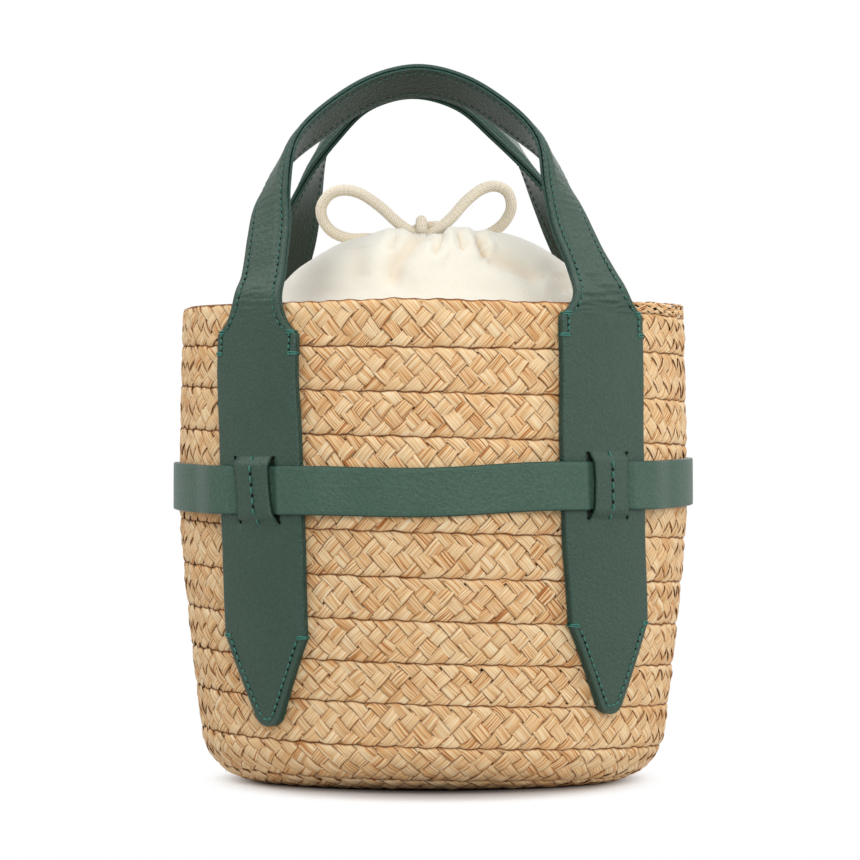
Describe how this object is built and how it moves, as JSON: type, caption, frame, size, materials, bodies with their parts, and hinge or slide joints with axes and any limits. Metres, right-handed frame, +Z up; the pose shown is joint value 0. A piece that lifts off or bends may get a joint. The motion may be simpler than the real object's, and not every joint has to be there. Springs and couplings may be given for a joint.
{
  "type": "basket bag",
  "caption": "Oval straw basket handbag with folding leather handles sewn on by pointed tabs, a belt threaded through the tabs, and a cotton pouch drawn shut with a bow.",
  "frame": {"origin": "centre of the bag's outline, on the surface that it stands on", "axes": "+Z up, -Y out of the bag's front, +X to the right seen from the front"},
  "size_m": [0.2199, 0.1724, 0.3019],
  "materials": {
    "straw": "flat plaited straw braid, dry and matt",
    "leather": "smooth dark green leather, satin",
    "lining": "thin dark olive leather, matt",
    "core": "felt filler",
    "cotton": "undyed cotton twill",
    "cord": "braided cotton cord",
    "thread": "waxed green sewing thread"
  },
  "bodies": {
    "bag": {"basket_wall": "straw", "basket_base": "straw", "belt": "leather", "pouch_lining": "cotton", "pouch_crown": "cotton", "pouch_hem": "cotton", "drawstring_in_hem": "cord", "drawstring_knot": "cord", "drawstring_left_loop": "cord", "drawstring_left_tail": "cord", "drawstring_left_tail_knot": "cord", "drawstring_right_loop": "cord", "drawstring_right_tail": "cord", "drawstring_right_tail_knot": "cord", "front_left_tab": "leather", "front_left_tab_lining": "lining", "front_left_neck": "leather", "front_left_tip_thread": "thread", "front_left_bridge_thread": "thread", "front_left_inner_shoulder_thread": "thread", "front_left_outer_shoulder_thread": "thread", "front_right_tab": "leather", "front_right_tab_lining": "lining", "front_right_neck": "leather", "front_right_tip_thread": "thread", "front_right_bridge_thread": "thread", "front_right_inner_shoulder_thread": "thread", "front_right_outer_shoulder_thread": "thread", "back_left_tab": "leather", "back_left_tab_lining": "lining", "back_left_neck": "leather", "back_left_tip_thread": "thread", "back_left_bridge_thread": "thread", "back_left_inner_shoulder_thread": "thread", "back_left_outer_shoulder_thread": "thread", "back_right_tab": "leather", "back_right_tab_lining": "lining", "back_right_neck": "leather", "back_right_tip_thread": "thread", "back_right_bridge_thread": "thread", "back_right_inner_shoulder_thread": "thread", "back_right_outer_shoulder_thread": "thread"},
    "front_handle": {"front_handle_strap": "leather", "front_handle_core": "core", "front_handle_lining": "lining"},
    "back_handle": {"back_handle_strap": "leather", "back_handle_core": "core", "back_handle_lining": "lining"}
  },
  "joints": [
    {"name": "front_handle_fold", "type": "hinge", "parent": "bag", "child": "front_handle", "pos_m": [0, -0.06405, 0.2015], "axis": [1, 0, 0], "range_deg": [0, 115], "deforming": ["front_left_neck", "front_right_neck"]},
    {"name": "back_handle_fold", "type": "hinge", "parent": "bag", "child": "back_handle", "pos_m": [0, 0.06405, 0.2015], "axis": [-1, 0, 0], "range_deg": [0, 115], "deforming": ["back_left_neck", "back_right_neck"]}
  ]
}
